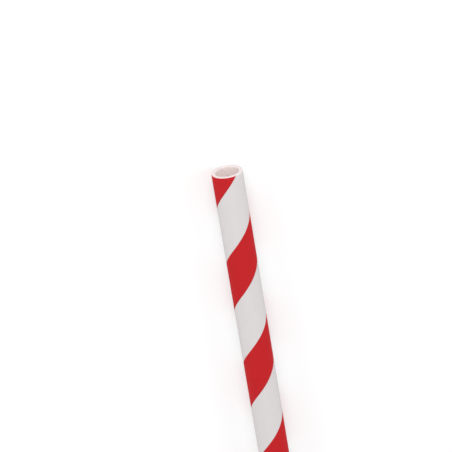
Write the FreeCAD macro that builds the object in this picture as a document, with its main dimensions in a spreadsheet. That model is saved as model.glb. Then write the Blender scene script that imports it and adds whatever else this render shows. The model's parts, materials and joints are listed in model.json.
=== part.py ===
"""Paper drinking straw: one spirally wound paper tube with square-cut ends.

The straw's axis is the X axis, and the origin is at the middle of its length.
The end at +X is the mouth, the one that shows its bore. Angles round the tube are
measured at the mouth, from its top (+Z) towards -Y.
"""

import FreeCAD
import Part

import os

import Sketcher

# Each row is a name, a value in millimetres or degrees, and what it sets.
DRIVING_SIZES = (
    ("outer_diameter", 6.0, "outside of the tube"),
    ("wall", 0.75, "thickness of the wound paper"),
    ("tube_length", 197.0, "cut length of the straw"),
    ("winding_pitch", 21.9, "advance of a paper strip along the tube in one turn"),
    ("seam_width", 0.2, "gap between neighbouring turns of a strip, along the tube"),
    ("seam_depth", 0.08, "depth of that gap, about the thickness of the thin outer ply"),
    ("outer_seam_angle", 32.1, "place of the outside seam at the mouth"),
    ("bore_seam_angle", 212.1, "place of the seam in the bore at the mouth"),
    ("seam_overrun", 0.5, "how far the seams are cut past each end and past the surface"),
    ("cut_edge_radius", 0.12, "rounding of the edges of the cut ends"),
)

NODE_NAME = "straw"


def make_sheet(doc):
    """Writes one row for each driving size and gives its cell an alias."""
    sheet = doc.addObject("Spreadsheet::Sheet", "Sizes")
    for row, (name, value, meaning) in enumerate(DRIVING_SIZES, start=1):
        sheet.set(f"A{row}", name)
        sheet.set(f"B{row}", str(value))
        sheet.set(f"C{row}", meaning)
        sheet.setAlias(f"B{row}", name)
    doc.recompute()


def new_sketch(body, name):
    """Starts a sketch on the body's own upright plane that holds the tube's axis."""
    sketch = body.newObject("Sketcher::SketchObject", name)
    for feature in body.Origin.OriginFeatures:
        if feature.Role == "XZ_Plane":
            sketch.AttachmentSupport = [(feature, "")]
    sketch.MapMode = "FlatFace"
    return sketch


def add_rectangle(sketch, left, right, low, high):
    """Draws a rectangle whose four sides are tied to expressions from the sheet.

    left and right are distances along the tube's axis, low and high are radii.
    """
    corners = ((-1, 1), (1, 1), (1, 2), (-1, 2))
    for index, corner in enumerate(corners):
        start = FreeCAD.Vector(*corner, 0)
        end = FreeCAD.Vector(*corners[(index + 1) % 4], 0)
        sketch.addGeometry(Part.LineSegment(start, end), False)
    for index in range(4):
        sketch.addConstraint(Sketcher.Constraint("Coincident", index, 2, (index + 1) % 4, 1))
    for side, direction in enumerate(("Horizontal", "Vertical", "Horizontal", "Vertical")):
        sketch.addConstraint(Sketcher.Constraint(direction, side))
    # The start points of the bottom side and of the top side hold the four distances.
    bottom, top = 0, 2
    for kind, side, value, expression in (
        ("DistanceX", bottom, -1, left),
        ("DistanceY", bottom, 1, low),
        ("DistanceX", top, 1, right),
        ("DistanceY", top, 2, high),
    ):
        number = sketch.addConstraint(Sketcher.Constraint(kind, -1, 1, side, 1, value))
        sketch.setExpression(f"Constraints[{number}]", expression)


def add_wall(body):
    """Turns the wall's section round the tube's axis."""
    section = new_sketch(body, "wall_section")
    add_rectangle(
        section,
        left="-Sizes.tube_length / 2",
        right="Sizes.tube_length / 2",
        low="Sizes.outer_diameter / 2 - Sizes.wall",
        high="Sizes.outer_diameter / 2",
    )
    wall = body.newObject("PartDesign::Revolution", "wound_wall")
    wall.Profile = section
    wall.ReferenceAxis = (section, ["H_Axis"])
    wall.Angle = 360
    body.Document.recompute()
    return wall


def round_cut_ends(body, wall):
    """Rounds the inner and outer edge of both cut ends."""
    rims = [
        f"Edge{number}"
        for number, edge in enumerate(wall.Shape.Edges, start=1)
        if isinstance(edge.Curve, Part.Circle)
    ]
    rounding = body.newObject("PartDesign::Fillet", "cut_ends")
    rounding.Base = (wall, rims)
    rounding.setExpression("Radius", "Sizes.cut_edge_radius")
    body.Document.recompute()


def cut_seam(body, name, angle, low, high):
    """Cuts the gap between the turns of one paper strip, past both ends.

    The winding is right-handed: it turns from the top towards -Y as it goes to +X.
    angle is the seam's place at the mouth, and low and high are the gap's radii.
    """
    start = "Sizes.tube_length / 2 + Sizes.seam_overrun"
    section = new_sketch(body, f"{name}_section")
    add_rectangle(
        section,
        left=f"-({start}) - Sizes.seam_width / 2",
        right=f"-({start}) + Sizes.seam_width / 2",
        low=low,
        high=high,
    )
    # The section starts beyond the far end, turned back by the turns up to the mouth.
    turned_back = "360 * (Sizes.tube_length + Sizes.seam_overrun) / Sizes.winding_pitch"
    section.AttachmentOffset = FreeCAD.Placement(
        FreeCAD.Vector(0, 0, 0), FreeCAD.Rotation(FreeCAD.Vector(1, 0, 0), 0)
    )
    section.setExpression("AttachmentOffset.Rotation.Angle", f"{angle} - {turned_back}")
    seam = body.newObject("PartDesign::SubtractiveHelix", name)
    seam.Profile = section
    seam.ReferenceAxis = (section, ["H_Axis"])
    seam.Mode = "pitch-height-angle"
    seam.LeftHanded = False
    seam.setExpression("Pitch", "Sizes.winding_pitch")
    seam.setExpression("Height", "Sizes.tube_length + 2 * Sizes.seam_overrun")
    body.Document.recompute()


def make_straw(doc):
    """Builds the straw as one body."""
    body = doc.addObject("PartDesign::Body", "Straw")
    body.Label = NODE_NAME
    wall = add_wall(body)
    round_cut_ends(body, wall)
    cut_seam(
        body,
        "outer_seam",
        angle="Sizes.outer_seam_angle",
        low="Sizes.outer_diameter / 2 - Sizes.seam_depth",
        high="Sizes.outer_diameter / 2 + Sizes.seam_overrun",
    )
    cut_seam(
        body,
        "bore_seam",
        angle="Sizes.bore_seam_angle",
        low="Sizes.outer_diameter / 2 - Sizes.wall - Sizes.seam_overrun",
        high="Sizes.outer_diameter / 2 - Sizes.wall + Sizes.seam_depth",
    )
    doc.recompute()
    return body


def check_document(doc):
    """Stops if any object has failed."""
    for item in doc.Objects:
        if "Invalid" in item.State or "Error" in item.State:
            raise RuntimeError(f"{item.Name} is in state {item.State}")


def check_shape(body):
    """Stops if the body isn't one valid closed solid."""
    shape = body.Shape
    if shape.isNull() or not shape.isValid() or len(shape.Solids) != 1:
        raise RuntimeError(f"{body.Label} isn't one valid solid")


def main():
    doc = FreeCAD.newDocument("PaperStraw")
    make_sheet(doc)
    straw = make_straw(doc)
    check_document(doc)
    check_shape(straw)
    os.makedirs("parts", exist_ok=True)
    straw.Shape.exportStep(os.path.join("parts", f"{NODE_NAME}.step"))
    box = straw.Shape.optimalBoundingBox(False, False)
    print(f"{NODE_NAME}: {straw.Shape.Volume:.2f} mm3, {len(straw.Shape.Faces)} faces")
    print(f"size {box.XLength:.3f} x {box.YLength:.3f} x {box.ZLength:.3f} mm")


main()
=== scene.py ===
"""A striped paper drinking straw that lies on a white table, seen from above its mouth end.

The straw is wound here as the real one is: the section of a paper strip runs round the
tube in a screw, its turns meet at a seam, and the tube is cut square at both ends.
"""

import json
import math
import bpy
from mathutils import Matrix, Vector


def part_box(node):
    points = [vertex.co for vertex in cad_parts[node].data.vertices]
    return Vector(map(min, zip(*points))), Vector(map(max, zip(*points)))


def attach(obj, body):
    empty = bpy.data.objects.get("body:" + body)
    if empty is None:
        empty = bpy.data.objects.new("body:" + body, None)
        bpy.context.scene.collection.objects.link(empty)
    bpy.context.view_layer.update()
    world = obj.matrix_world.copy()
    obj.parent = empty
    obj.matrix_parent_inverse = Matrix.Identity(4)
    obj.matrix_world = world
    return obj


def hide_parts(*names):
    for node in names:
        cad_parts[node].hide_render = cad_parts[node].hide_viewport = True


bl_info = {
    "name": "Paper Drinking Straw",
    "version": (1, 0, 0),
    "blender": (4, 5, 0),
    "location": "3D View > Sidebar > Straw",
    "description": "Winds a striped paper straw round the loaded frame and lights it",
    "category": "Object",
}

import bmesh
import bpy
from bpy.props import FloatProperty, FloatVectorProperty, IntProperty, PointerProperty
from bpy.types import Operator, Panel, PropertyGroup
from mathutils import Matrix, Vector

MM = 0.001
NODE = "straw"
BODY = "root"
WINDING_MAP = "winding"
BAKE_MAP = "OFBake"
X_AXIS = Vector((1, 0, 0))
PRINTED, BORE, CUT = range(3)
OUTWARD, INWARD = 1, -1
ROUNDING_STEPS = 4
# A face whose normal leans further than this along the tube belongs to the cut end.
CUT_FACE_LEAN = 0.7
SHARP_EDGE = math.radians(35)
# The plain stretches of a strip are divided into widths of about this.
FLAT_WIDTH = 2 * MM
# Section of the dip: shares of half its width, each with its share of the depth.
DIP_SECTION = ((-1, 0), (-0.5, 0.5), (0, 1), (0.5, 0.5), (1, 0))
# How far the winding runs past each end before it is cut, as a share of the pitch.
END_WASTE = 0.25
BAKE_GAP = 1.2 * MM

IMAGE_SIDE = 452
IMAGE_MIDDLE = (IMAGE_SIDE - 1) / 2
SENSOR_MM = 36.0
NEAREST_SEEN = 0.01
FARTHEST_SEEN = 20

# The stage. Its sizes are in metres, and the lamps hang in these directions from the mouth.
SIDE_LAMPS = ((-0.05, -0.85, 0.4), (-0.05, 0.85, 0.4))
MOUTH_LAMP = (0.85, 0, 0.53)
LAMP_SIZE = 0.5
LAMP_DISTANCE = 0.8
TABLE_REACH = 1.5
TABLE_GREY = 0.6
# What the table lacks to full white in this light, added only where it is looked at.
TABLE_LIFT = 0.45
FULL_WHITE = 1.0

# How the papers are made: all lengths in millimetres, fibres as length and width, and
# shades as the darkest and lightest shares of a colour.
PAPER_SHINE = 0.02
CLOUD_GRAIN = 3.0
PAPER_SHADES = (0.985, 1.015)
PAPER_ROUGHNESS = 0.58
OUTER_FIBRES = (0.33, 0.08)
OUTER_RELIEF = 0.006
INK_SHADES = (0.94, 1.06)
INK_ROUGHNESS = 0.5
INK_EDGE_WANDER = 0.05
INK_EDGE_GRAIN = 0.2
INK_EDGE_SOFTNESS = 0.03
BORE_SHADES = (0.97, 1.03)
BORE_ROUGHNESS = 0.7
BORE_FIBRES = (0.5, 0.125)
BORE_RELIEF = 0.02
CUT_SHADES = (0.95, 1.04)
CUT_ROUGHNESS = 0.75
CUT_GRAIN = 0.11
CUT_RELIEF = 0.02
PLIES = 5
PLY_WANDER = 0.06
PLY_WANDER_GRAIN = 0.7
# How far a line between two plies reaches on either side, as a share of a ply.
PLY_LINE_REACH = 1 / 6
PLY_LINE_SHADE = 0.8
PLY_LINE_STRENGTH = 0.35
PLY_LINE_DEPTH = 0.6

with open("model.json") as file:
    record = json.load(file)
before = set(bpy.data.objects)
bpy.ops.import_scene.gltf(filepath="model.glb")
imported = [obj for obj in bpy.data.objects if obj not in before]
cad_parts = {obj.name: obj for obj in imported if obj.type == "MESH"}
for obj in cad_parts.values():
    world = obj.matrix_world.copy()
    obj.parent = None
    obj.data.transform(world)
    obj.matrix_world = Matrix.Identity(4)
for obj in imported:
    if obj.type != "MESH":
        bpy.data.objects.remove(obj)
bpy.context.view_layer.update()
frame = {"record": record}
MOUNT_RADIUS = {m["name"]: m["dims"]["r_mm"] * MM for m in frame["record"]["mounts"]}
LOW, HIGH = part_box(NODE)
TABLE_HEIGHT = LOW[2]


class StrawSizes(PropertyGroup):
    """Sizes of the wound tube."""

    outer_radius: FloatProperty(
        name="Outer radius",
        description="Radius of the tube's outside",
        default=MOUNT_RADIUS["outside"],
        unit="LENGTH",
    )
    bore_radius: FloatProperty(
        name="Bore radius",
        description="Radius of the tube's inside",
        default=MOUNT_RADIUS["bore"],
        unit="LENGTH",
    )
    length: FloatProperty(
        name="Length",
        description="Length from cut end to cut end",
        default=HIGH[0] - LOW[0],
        unit="LENGTH",
    )
    pitch: FloatProperty(
        name="Winding pitch",
        description="Advance of a paper strip along the tube in one turn",
        default=21.9 * MM,
        unit="LENGTH",
    )
    seam_width: FloatProperty(
        name="Seam width",
        description="Gap between neighbouring turns of a strip, along the tube",
        default=0.2 * MM,
        unit="LENGTH",
    )
    seam_depth: FloatProperty(
        name="Seam depth",
        description="Depth of that gap, about the thickness of the thin outer ply",
        default=0.08 * MM,
        unit="LENGTH",
    )
    lip: FloatProperty(
        name="Strip edge",
        description="Rounding of a strip's edge beside the seam",
        default=0.03 * MM,
        unit="LENGTH",
    )
    outer_seam_angle: FloatProperty(
        name="Outer seam",
        description="Place of the outside seam at the mouth, from the top towards -Y",
        default=math.radians(32.1),
        subtype="ANGLE",
    )
    bore_seam_angle: FloatProperty(
        name="Bore seam",
        description="Place of the seam in the bore at the mouth, from the top towards -Y",
        default=math.radians(212.1),
        subtype="ANGLE",
    )
    cut_edge_radius: FloatProperty(
        name="Cut edge radius",
        description="Rounding of the edges of the cut ends",
        default=0.12 * MM,
        unit="LENGTH",
    )
    dip_place: FloatProperty(
        name="Dip place",
        description="Where the seam of the ply below shows, as a share of the pitch",
        default=0.72,
        subtype="FACTOR",
    )
    dip_width: FloatProperty(
        name="Dip width",
        description="Width of the shallow dip over the seam of the ply below",
        default=0.8 * MM,
        unit="LENGTH",
    )
    dip_depth: FloatProperty(
        name="Dip depth",
        description="Depth of that dip",
        default=0.012 * MM,
        unit="LENGTH",
    )
    steps: IntProperty(
        name="Steps",
        description="Steps of the screw in one turn",
        default=96,
    )


class StrawColours(PropertyGroup):
    """Colours of the paper and the ink, where the bore's and the cut ends' paper are
    lightened by painted light.
    """

    paper: FloatVectorProperty(
        name="Paper",
        description="White outer paper",
        default=(0.725, 0.687, 0.686),
        subtype="COLOR",
    )
    ink: FloatVectorProperty(
        name="Ink",
        description="Red printed band",
        default=(0.552, 0.0215, 0.0255),
        subtype="COLOR",
    )
    # Painted light: the bore's paper is set lighter than the outer paper, for light that
    # falls down the bore and through its thin wall, which the lamps don't give.
    bore_paper_painted_light: FloatVectorProperty(
        name="Bore paper",
        description="Uncoated paper inside the bore",
        default=(0.95, 0.845, 0.82),
        subtype="COLOR",
    )
    # Painted light: the cut ends' paper is set lighter than the outer paper, so that the rim
    # shows bright as though it faced the light.
    cut_paper_painted_light: FloatVectorProperty(
        name="Cut paper",
        description="Bare fibres on the cut ends",
        default=(0.87, 0.77, 0.775),
        subtype="COLOR",
    )
    printed_share: FloatProperty(
        name="Printed share",
        description="Share of the outer strip's width that the red band covers",
        default=0.462,
        subtype="FACTOR",
    )


class StudioSettings(PropertyGroup):
    """Where the camera stands, and how strong the light is."""

    view_tilt: FloatProperty(
        name="View tilt",
        description="How far the camera leans from above towards the mouth end",
        default=math.radians(25.12),
        subtype="ANGLE",
    )
    lean: FloatProperty(
        name="Lean",
        description="How far the straw leans from upright in the picture",
        default=math.radians(9.637),
        subtype="ANGLE",
    )
    distance: FloatProperty(
        name="Distance",
        description="From the camera to the middle of the mouth's rim, along the view",
        default=0.4647,
        unit="LENGTH",
    )
    scale: FloatProperty(
        name="Scale",
        description="Pixels of the picture for each millimetre at the rim",
        default=5.3064,
    )
    rim_x: FloatProperty(
        name="Rim column",
        description="Pixel column of the rim's middle, from the left",
        default=226.35,
    )
    rim_y: FloatProperty(
        name="Rim row",
        description="Pixel row of the rim's middle, from the top",
        default=171.0,
    )
    sky: FloatProperty(
        name="Sky light",
        description="Strength of the even light from all round",
        default=0.5,
    )
    side_power: FloatProperty(
        name="Side lamps",
        description="Power of each of the two soft lamps beside the straw",
        default=1.9,
        unit="POWER",
    )
    mouth_power: FloatProperty(
        name="Mouth lamp",
        description="Power of the soft lamp that shines into the mouth",
        default=4.0,
        unit="POWER",
    )


def strip_section(sizes, side):
    """Lists the strip's section as (distance from the seam, height over the skin) pairs.

    side is OUTWARD for the outside and INWARD for the bore, where the seam cuts away from
    the axis. The section covers one pitch, so each turn of the screw ends where the next
    one starts.
    """
    half_gap = sizes.seam_width / 2
    depth = sizes.seam_depth
    lip = sizes.lip
    edge = [(0, -depth), (half_gap, -depth), (half_gap, -lip), (half_gap + lip, 0)]
    dip_middle = sizes.dip_place * sizes.pitch
    dip = [
        (dip_middle + share * sizes.dip_width / 2, -sizes.dip_depth * fall)
        for share, fall in DIP_SECTION
    ]
    far_edge = [(sizes.pitch - along, height) for along, height in reversed(edge)]
    section = edge[:]
    section += flat_stretch(edge[-1][0], dip[0][0])
    section += dip
    section += flat_stretch(dip[-1][0], far_edge[0][0])
    section += far_edge
    return [(along, side * height) for along, height in section]


def flat_stretch(start, end):
    """Divides a plain stretch of the strip, between two distances from its seam."""
    count = math.ceil((end - start) / FLAT_WIDTH)
    return [(start + (end - start) * index / count, 0) for index in range(1, count)]


def wind_skin(bm, sizes, radius, seam_angle, side):
    """Winds one skin of the tube round the X axis and cuts it square near both ends."""
    waste = sizes.pitch * END_WASTE
    # Points of the mesh that are closer together than this are one.
    weld = sizes.lip / 10
    # The strip starts with a slant edge, a pitch long, which lies beyond the waste.
    start = -sizes.length / 2 - sizes.pitch - waste
    turns = math.ceil((sizes.length + 2 * waste) / sizes.pitch) + 1
    start_angle = seam_angle - math.tau * (sizes.length / 2 - start) / sizes.pitch
    turned = Matrix.Rotation(start_angle, 3, "X")
    verts = []
    for along, height in strip_section(sizes, side):
        verts.append(bm.verts.new(turned @ Vector((start + along, 0, radius + height))))
    edges = [bm.edges.new(pair) for pair in zip(verts, verts[1:])]
    bmesh.ops.spin(
        bm,
        geom=verts + edges,
        cent=(0, 0, 0),
        axis=X_AXIS,
        dvec=X_AXIS * (sizes.pitch / sizes.steps),
        angle=math.tau,
        space=Matrix.Identity(4),
        steps=sizes.steps,
        use_merge=False,
        use_duplicate=False,
    )
    first_turn = bm.verts[:] + bm.edges[:] + bm.faces[:]
    for turn in range(1, turns):
        made = bmesh.ops.duplicate(bm, geom=first_turn)["geom"]
        bmesh.ops.translate(bm, vec=X_AXIS * sizes.pitch * turn, verts=only_verts(made))
    bmesh.ops.remove_doubles(bm, verts=bm.verts, dist=weld)
    cut_at = sizes.length / 2 - sizes.cut_edge_radius
    for way in (-1, 1):
        bmesh.ops.bisect_plane(
            bm,
            geom=bm.verts[:] + bm.edges[:] + bm.faces[:],
            dist=weld,
            plane_co=X_AXIS * (way * cut_at),
            plane_no=X_AXIS * way,
            clear_outer=True,
        )
        for vert in verts_of(end_edges(bm, way)):
            vert.co.x = way * cut_at


def end_edges(bm, way):
    """Finds the open edges at one end of the tube."""
    return [e for e in bm.edges if e.is_boundary and e.verts[0].co.x * way > 0]


def verts_of(edges):
    """Lists the vertices of some edges, each once."""
    return list({vert for edge in edges for vert in edge.verts})


def only_verts(geometry):
    """Picks the vertices out of what an operator made."""
    return [item for item in geometry if isinstance(item, bmesh.types.BMVert)]


def round_skin_end(bm, sizes, radius, side, way):
    """Rounds one end of a skin into the cut face, through a quarter circle."""
    reach = radius
    along = 0
    for step in range(1, ROUNDING_STEPS + 1):
        turn = math.pi / 2 * step / ROUNDING_STEPS
        next_reach = radius - side * sizes.cut_edge_radius * (1 - math.cos(turn))
        next_along = sizes.cut_edge_radius * math.sin(turn)
        made = bmesh.ops.extrude_edge_only(bm, edges=end_edges(bm, way))["geom"]
        verts = only_verts(made)
        share = next_reach / reach
        bmesh.ops.scale(bm, vec=(1, share, share), verts=verts)
        bmesh.ops.translate(bm, vec=X_AXIS * way * (next_along - along), verts=verts)
        reach, along = next_reach, next_along


def make_skin(sizes, radius, seam_angle, side):
    """Makes one skin of the tube, with both of its ends rounded, as a mesh."""
    bm = bmesh.new()
    wind_skin(bm, sizes, radius, seam_angle, side)
    for way in (-1, 1):
        round_skin_end(bm, sizes, radius, side, way)
    skin = bpy.data.meshes.new("skin")
    bm.to_mesh(skin)
    bm.free()
    return skin


def make_tube(sizes):
    """Makes the closed tube from its two skins and joins them across the cut faces."""
    bm = bmesh.new()
    for radius, seam_angle, side in (
        (sizes.outer_radius, sizes.outer_seam_angle, OUTWARD),
        (sizes.bore_radius, sizes.bore_seam_angle, INWARD),
    ):
        skin = make_skin(sizes, radius, seam_angle, side)
        bm.from_mesh(skin)
        bpy.data.meshes.remove(skin)
    for way in (-1, 1):
        bmesh.ops.triangle_fill(
            bm, use_beauty=True, edges=end_edges(bm, way), normal=X_AXIS * way
        )
    if any(not edge.is_manifold for edge in bm.edges):
        raise RuntimeError("the tube isn't closed")
    bmesh.ops.recalc_face_normals(bm, faces=bm.faces)
    return bm


def part_of(face, sizes):
    """Tells which paper a face shows: the printed outside, the bore or a cut end."""
    if abs(face.normal.x) > CUT_FACE_LEAN:
        return CUT
    middle = face.calc_center_median()
    mid_wall = (sizes.outer_radius + sizes.bore_radius) / 2
    return PRINTED if math.hypot(middle.y, middle.z) > mid_wall else BORE


def angle_of(place, near=None):
    """Angle round the tube from the top towards -Y, within half a turn of near."""
    angle = math.atan2(-place.y, place.z)
    if near is not None:
        angle += math.tau * round((near - angle) / math.tau)
    return angle


class StripMap:
    """Places on a paper strip, in millimetres along it and across it from the seam."""

    def __init__(self, sizes, radius, seam_angle):
        self.half_length = sizes.length / 2
        self.pitch = sizes.pitch
        self.seam = seam_angle / math.tau
        self.round = math.tau * radius
        self.slant = math.hypot(self.round, self.pitch)

    def turns(self, place, angle):
        """Counts the turns of the strip between the seam at the mouth and a place."""
        return (place.x - self.half_length) / self.pitch - angle / math.tau + self.seam

    def place(self, place, angle, whole):
        """Finds a place on the strip, where whole is the number of whole turns."""
        from_seam = (self.turns(place, angle) - whole) * self.pitch
        wound = angle / math.tau + whole
        along = wound * self.slant + from_seam * self.pitch / self.slant
        across = from_seam * self.round / self.slant
        return along / MM, across / MM


class BakeLayout:
    """Lays the two skins out as strips in halves of the length, and the ends as rings."""

    def __init__(self, sizes):
        self.gap = BAKE_GAP
        self.half_length = sizes.length / 2
        self.radius = sizes.outer_radius
        self.radii = {PRINTED: sizes.outer_radius, BORE: sizes.bore_radius}
        self.rows = {}
        height = self.gap
        for part in (PRINTED, BORE):
            for half in (-1, 1):
                self.rows[part, half] = height
                height += math.tau * self.radii[part] + self.gap
        self.ends = height
        self.height = height + 2 * self.radius + self.gap
        self.width = self.half_length + 2 * self.gap

    def spot(self, part, half, place, angle):
        """Finds the spot of a place in the unit square."""
        if part == CUT:
            column = self.gap + self.radius + (half > 0) * (2 * self.radius + self.gap)
            across = column + place.y
            up = self.ends + self.radius + place.z
        else:
            across = self.gap + place.x + (half < 0) * self.half_length
            up = self.rows[part, half] + (angle + math.pi) * self.radii[part]
        return across / self.width, up / self.height


def map_tube(bm, sizes):
    """Gives each face its paper, its place on the strip and its spot in the bake."""
    winding = bm.loops.layers.uv.new(WINDING_MAP)
    bake = bm.loops.layers.uv.new(BAKE_MAP)
    layout = BakeLayout(sizes)
    strips = {
        PRINTED: StripMap(sizes, sizes.outer_radius, sizes.outer_seam_angle),
        BORE: StripMap(sizes, sizes.bore_radius, sizes.bore_seam_angle),
    }
    for face in bm.faces:
        part = part_of(face, sizes)
        face.material_index = part
        face.smooth = True
        middle = face.calc_center_median()
        middle_angle = angle_of(middle)
        half = 1 if middle.x > 0 else -1
        if part != CUT:
            whole = math.floor(strips[part].turns(middle, middle_angle))
        for loop in face.loops:
            place = loop.vert.co
            angle = angle_of(place, near=middle_angle)
            if part == CUT:
                reach = math.hypot(place.y, place.z) / MM
                loop[winding].uv = angle * sizes.outer_radius / MM, reach
            else:
                loop[winding].uv = strips[part].place(place, angle, whole)
            loop[bake].uv = layout.spot(part, half, place, angle)


class Number:
    """A socket that carries a number, on which plain sums add Math nodes."""

    def __init__(self, tree, socket):
        self.tree = tree
        self.socket = socket

    def sum_of(self, operation, *values):
        """Adds one Math node on some values and hands its result back."""
        node = self.tree.node(
            "ShaderNodeMath", {"operation": operation}, dict(enumerate(values))
        )
        return Number(self.tree, node.outputs[0])

    def __add__(self, other):
        return self.sum_of("ADD", self, other)

    def __radd__(self, other):
        return self.sum_of("ADD", other, self)

    def __sub__(self, other):
        return self.sum_of("SUBTRACT", self, other)

    def __rsub__(self, other):
        return self.sum_of("SUBTRACT", other, self)

    def __mul__(self, other):
        return self.sum_of("MULTIPLY", self, other)

    def __rmul__(self, other):
        return self.sum_of("MULTIPLY", other, self)

    def over(self, edge, width):
        """1 where this is well over edge and 0 well under, with a soft step of width."""
        return self.sum_of("MULTIPLY_ADD", self - edge, 1 / width, 0.5).clamped()

    def clamped(self):
        """This, kept between 0 and 1."""
        return self.sum_of("MINIMUM", self.sum_of("MAXIMUM", self, 0.0), 1.0)

    def most(self, other):
        """The larger of this and another."""
        return self.sum_of("MAXIMUM", self, other)

    def from_whole(self):
        """How far this is from the nearest whole number."""
        return self.sum_of("PINGPONG", self, 0.5)


class ShaderTree:
    """Builds the nodes of one material or of the world."""

    def __init__(self, owner):
        owner.use_nodes = True
        self.tree = owner.node_tree
        self.tree.nodes.clear()

    def node(self, kind, settings=None, values=None):
        """Adds a node: first its settings, then the values or links of its sockets."""
        made = self.tree.nodes.new(kind)
        for name, setting in (settings or {}).items():
            setattr(made, name, setting)
        for name, value in (values or {}).items():
            socket = value.socket if isinstance(value, Number) else value
            if isinstance(socket, bpy.types.NodeSocket):
                self.tree.links.new(socket, made.inputs[name])
            else:
                made.inputs[name].default_value = socket
        return made

    def number(self, kind, settings=None, values=None, output=0):
        """Adds a node and hands one of its outputs back as a number."""
        return Number(self, self.node(kind, settings, values).outputs[output])

    def strip_place(self):
        """Reads the place on the strip, in millimetres, as a vector."""
        return self.node("ShaderNodeUVMap", {"uv_map": WINDING_MAP}).outputs[0]

    def parts(self, vector):
        """Takes a vector apart into its first two numbers."""
        node = self.node("ShaderNodeSeparateXYZ", values={0: vector})
        return Number(self, node.outputs[0]), Number(self, node.outputs[1])

    def noise(self, place, grain, detail=2.0):
        """Adds soft noise from 0 to 1, about 0.5, with its grain in millimetres."""
        return self.number(
            "ShaderNodeTexNoise",
            values={"Vector": place, "Scale": 1 / grain, "Detail": detail},
        )

    def fibres(self, place, length, width):
        """Adds noise that is drawn out along the strip, from sizes in millimetres."""
        drawn_out = self.node(
            "ShaderNodeVectorMath",
            {"operation": "MULTIPLY"},
            {0: place, 1: (1 / length, 1 / width, 1.0)},
        ).outputs[0]
        return self.noise(drawn_out, grain=1.0, detail=4.0)

    def blend(self, factor, first, second):
        """Mixes two colours."""
        node = self.node(
            "ShaderNodeMix", {"data_type": "RGBA"}, {0: factor, 6: first, 7: second}
        )
        return node.outputs[2]

    def mottled(self, factor, colour, shades):
        """Mixes the darkest and the lightest shade of one colour."""
        darkest, lightest = shades
        return self.blend(factor, shade(colour, darkest), shade(colour, lightest))

    def relief(self, height, depth):
        """Turns a height from 0 to 1 into a bumped normal."""
        return self.node(
            "ShaderNodeBump", values={"Strength": 1.0, "Distance": depth, "Height": height}
        ).outputs[0]

    def finish(self, kind, shader):
        """Links the last shader to the output."""
        self.node(kind, values={"Surface": shader})


def shade(colour, share):
    """Darkens or lightens a colour by a share, as a value for a colour socket."""
    return (*[channel * share for channel in colour], 1.0)


def paper_shader(tree, colour, roughness, normal):
    """Adds a matt paper shader."""
    return tree.node(
        "ShaderNodeBsdfPrincipled",
        values={
            "Base Color": colour,
            "Roughness": roughness,
            "Specular IOR Level": PAPER_SHINE,
            "Normal": normal,
        },
    ).outputs[0]


def printed_paper(sizes, colours):
    """Makes the outer paper: white, with a red band from the seam across the strip."""
    material = bpy.data.materials.new("printed_paper")
    tree = ShaderTree(material)
    place = tree.strip_place()
    across = tree.parts(place)[1]
    round_way = math.tau * sizes.outer_radius / MM
    strip_width = round_way * sizes.pitch / MM / math.hypot(round_way, sizes.pitch / MM)
    wander = (tree.noise(place, INK_EDGE_GRAIN) - 0.5) * INK_EDGE_WANDER
    band_edge = wander + colours.printed_share * strip_width
    white = across.over(band_edge, INK_EDGE_SOFTNESS)
    clouds = tree.noise(place, CLOUD_GRAIN, detail=3.0)
    paper = tree.mottled(clouds, colours.paper, PAPER_SHADES)
    ink = tree.mottled(clouds, colours.ink, INK_SHADES)
    colour = tree.blend(white, ink, paper)
    roughness = white * (PAPER_ROUGHNESS - INK_ROUGHNESS) + INK_ROUGHNESS
    normal = tree.relief(tree.fibres(place, *OUTER_FIBRES), OUTER_RELIEF * MM)
    shader = paper_shader(tree, colour, roughness, normal)
    tree.finish("ShaderNodeOutputMaterial", shader)
    return material


def bore_paper_painted_light(colours):
    """Makes the uncoated paper inside the bore. Its colour holds painted light: it is lighter
    than the outer paper, for light that falls down the bore and through its thin wall.
    """
    material = bpy.data.materials.new("bore_paper_painted_light")
    tree = ShaderTree(material)
    fibres = tree.fibres(tree.strip_place(), *BORE_FIBRES)
    colour = tree.mottled(fibres, colours.bore_paper_painted_light, BORE_SHADES)
    normal = tree.relief(fibres, BORE_RELIEF * MM)
    shader = paper_shader(tree, colour, BORE_ROUGHNESS, normal)
    tree.finish("ShaderNodeOutputMaterial", shader)
    return material


def cut_paper_painted_light(sizes, colours):
    """Makes the bare fibres of the cut ends, with faint lines between the plies. The fibres'
    colour holds painted light: it is lighter than the outer paper, as though the ends faced
    the light.
    """
    material = bpy.data.materials.new("cut_paper_painted_light")
    tree = ShaderTree(material)
    place = tree.strip_place()
    reach = tree.parts(place)[1]
    wander = (tree.noise(place, PLY_WANDER_GRAIN) - 0.5) * PLY_WANDER
    ply = (sizes.outer_radius - sizes.bore_radius) / MM / PLIES
    from_bore = (reach + wander - sizes.bore_radius / MM) * (1 / ply)
    # Counted in plies from the bore, two plies meet at each whole number.
    line = (1 - from_bore.from_whole() * (1 / PLY_LINE_REACH)).clamped()
    fibres = tree.noise(place, CUT_GRAIN, detail=3.0)
    bare = tree.mottled(fibres, colours.cut_paper_painted_light, CUT_SHADES)
    glue = shade(colours.cut_paper_painted_light, PLY_LINE_SHADE)
    colour = tree.blend(line * PLY_LINE_STRENGTH, bare, glue)
    normal = tree.relief(fibres - line * PLY_LINE_DEPTH, CUT_RELIEF * MM)
    shader = paper_shader(tree, colour, CUT_ROUGHNESS, normal)
    tree.finish("ShaderNodeOutputMaterial", shader)
    return material


def seen_directly(tree):
    """Is 1 for rays that show a background: the camera's, and mirrored or glassy ones."""
    path = tree.node("ShaderNodeLightPath")
    rays = [
        Number(tree, path.outputs[name])
        for name in ("Is Camera Ray", "Is Glossy Ray", "Is Transmission Ray")
    ]
    return rays[0].most(rays[1]).most(rays[2])


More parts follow.
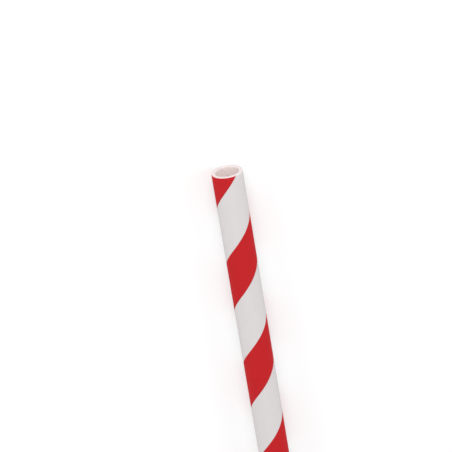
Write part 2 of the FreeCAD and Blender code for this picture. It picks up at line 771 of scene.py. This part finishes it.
def table_finish():
    """Makes the matt white table, lifted to full white where it is looked at."""
    material = bpy.data.materials.new("white_table")
    tree = ShaderTree(material)
    matt = tree.node(
        "ShaderNodeBsdfDiffuse", values={"Color": (TABLE_GREY, TABLE_GREY, TABLE_GREY, 1)}
    ).outputs[0]
    glow = tree.node("ShaderNodeEmission", values={"Strength": TABLE_LIFT}).outputs[0]
    lifted = tree.node("ShaderNodeAddShader", values={0: matt, 1: glow}).outputs[0]
    shader = tree.node(
        "ShaderNodeMixShader", values={0: seen_directly(tree), 1: matt, 2: lifted}
    ).outputs[0]
    tree.finish("ShaderNodeOutputMaterial", shader)
    return material


def make_sky(scene, studio):
    """Surrounds the scene with even white light, plain white where it is looked at."""
    scene.world = bpy.data.worlds.new("white_room")
    tree = ShaderTree(scene.world)
    light, seen = [
        tree.node(
            "ShaderNodeBackground", values={"Color": (1, 1, 1, 1), "Strength": strength}
        ).outputs[0]
        for strength in (studio.sky, FULL_WHITE)
    ]
    shader = tree.node(
        "ShaderNodeMixShader", values={0: seen_directly(tree), 1: light, 2: seen}
    ).outputs[0]
    tree.finish("ShaderNodeOutputWorld", shader)


def make_table():
    """Makes the table top under the straw."""
    bm = bmesh.new()
    bmesh.ops.create_grid(bm, x_segments=1, y_segments=1, size=TABLE_REACH)
    bmesh.ops.translate(bm, vec=(0, 0, TABLE_HEIGHT), verts=bm.verts)
    mesh = bpy.data.meshes.new("table")
    bm.to_mesh(mesh)
    bm.free()
    mesh.materials.append(table_finish())
    return link(bpy.data.objects.new("table", mesh))


def link(item):
    """Puts an object into the scene."""
    bpy.context.scene.collection.objects.link(item)
    return item


def make_lamps(studio, target):
    """Hangs three large soft lamps: one on either side of the straw, one before its mouth."""
    lamps = [(way, studio.side_power) for way in SIDE_LAMPS]
    lamps.append((MOUTH_LAMP, studio.mouth_power))
    for way, power in lamps:
        lamp = bpy.data.lights.new("soft_box", "AREA")
        lamp.shape = "DISK"
        lamp.size = LAMP_SIZE
        lamp.energy = power
        holder = link(bpy.data.objects.new("soft_box", lamp))
        way = Vector(way).normalized()
        holder.location = target + way * LAMP_DISTANCE
        holder.rotation_euler = way.to_track_quat("Z", "Y").to_euler()


def make_camera(scene, studio, rim):
    """Stands the camera over the mouth end, so that the rim lands on its pixel."""
    tilt, lean = studio.view_tilt, studio.lean
    forward = Vector((-math.sin(tilt), 0, -math.cos(tilt)))
    right = Vector(
        (-math.cos(tilt) * math.sin(lean), -math.cos(lean), math.sin(tilt) * math.sin(lean))
    )
    up = right.cross(forward)
    across = (studio.rim_x - IMAGE_MIDDLE) / studio.scale * MM
    above = (IMAGE_MIDDLE - studio.rim_y) / studio.scale * MM
    place = rim - right * across - up * above - forward * studio.distance
    camera = bpy.data.cameras.new("camera")
    camera.sensor_width = SENSOR_MM
    camera.lens = SENSOR_MM * studio.scale * studio.distance / MM / IMAGE_SIDE
    camera.clip_start = NEAREST_SEEN
    camera.clip_end = FARTHEST_SEEN
    holder = link(bpy.data.objects.new("camera", camera))
    turned = Matrix((right, up, -forward)).transposed().to_4x4()
    holder.matrix_world = Matrix.Translation(place) @ turned
    scene.camera = holder


class STRAW_OT_wind(Operator):
    """Wind the paper tube, print its band and cut its ends"""

    bl_idname = "straw.wind"
    bl_label = "Wind the straw"

    def execute(self, context):
        sizes = context.scene.straw_sizes
        colours = context.scene.straw_colours
        bm = make_tube(sizes)
        map_tube(bm, sizes)
        bmesh.ops.translate(bm, vec=(0, 0, (LOW[2] + HIGH[2]) / 2), verts=bm.verts)
        mesh = bpy.data.meshes.new("paper_straw")
        bm.to_mesh(mesh)
        bm.free()
        # The finishes stand in the order of the papers' numbers.
        for finish in (
            printed_paper(sizes, colours),
            bore_paper_painted_light(colours),
            cut_paper_painted_light(sizes, colours),
        ):
            mesh.materials.append(finish)
        mesh.set_sharp_from_angle(angle=SHARP_EDGE)
        straw = link(bpy.data.objects.new("paper_straw", mesh))
        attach(straw, BODY)
        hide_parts(NODE)
        return {"FINISHED"}


class STRAW_OT_studio(Operator):
    """Lay the white table, and set up the light and the camera"""

    bl_idname = "straw.studio"
    bl_label = "Set up the studio"

    def execute(self, context):
        scene = context.scene
        studio = scene.straw_studio
        rim = Vector((HIGH[0], 0, (LOW[2] + HIGH[2]) / 2))
        scene.view_settings.view_transform = "Standard"
        make_sky(scene, studio)
        make_lamps(studio, rim)
        make_camera(scene, studio, rim)
        make_table()
        return {"FINISHED"}


class STRAW_PT_panel(Panel):
    """Lists the straw's settings and its steps"""

    bl_idname = "STRAW_PT_panel"
    bl_label = "Paper straw"
    bl_space_type = "VIEW_3D"
    bl_region_type = "UI"
    bl_category = "Straw"

    def draw(self, context):
        for operator in (STRAW_OT_wind, STRAW_OT_studio):
            self.layout.operator(operator.bl_idname)
        for name in GROUPS:
            settings = getattr(context.scene, name)
            box = self.layout.box()
            for prop in settings.bl_rna.properties:
                if prop.identifier not in ("rna_type", "name"):
                    box.prop(settings, prop.identifier)


GROUPS = {
    "straw_sizes": StrawSizes,
    "straw_colours": StrawColours,
    "straw_studio": StudioSettings,
}
CLASSES = (*GROUPS.values(), STRAW_OT_wind, STRAW_OT_studio, STRAW_PT_panel)


def register():
    for item in CLASSES:
        bpy.utils.register_class(item)
    for name, group in GROUPS.items():
        setattr(bpy.types.Scene, name, PointerProperty(type=group))


def unregister():
    for name in GROUPS:
        delattr(bpy.types.Scene, name)
    for item in reversed(CLASSES):
        bpy.utils.unregister_class(item)


def main():
    register()
    bpy.ops.straw.wind()
    bpy.ops.straw.studio()


if __name__ == "__main__":
    main()
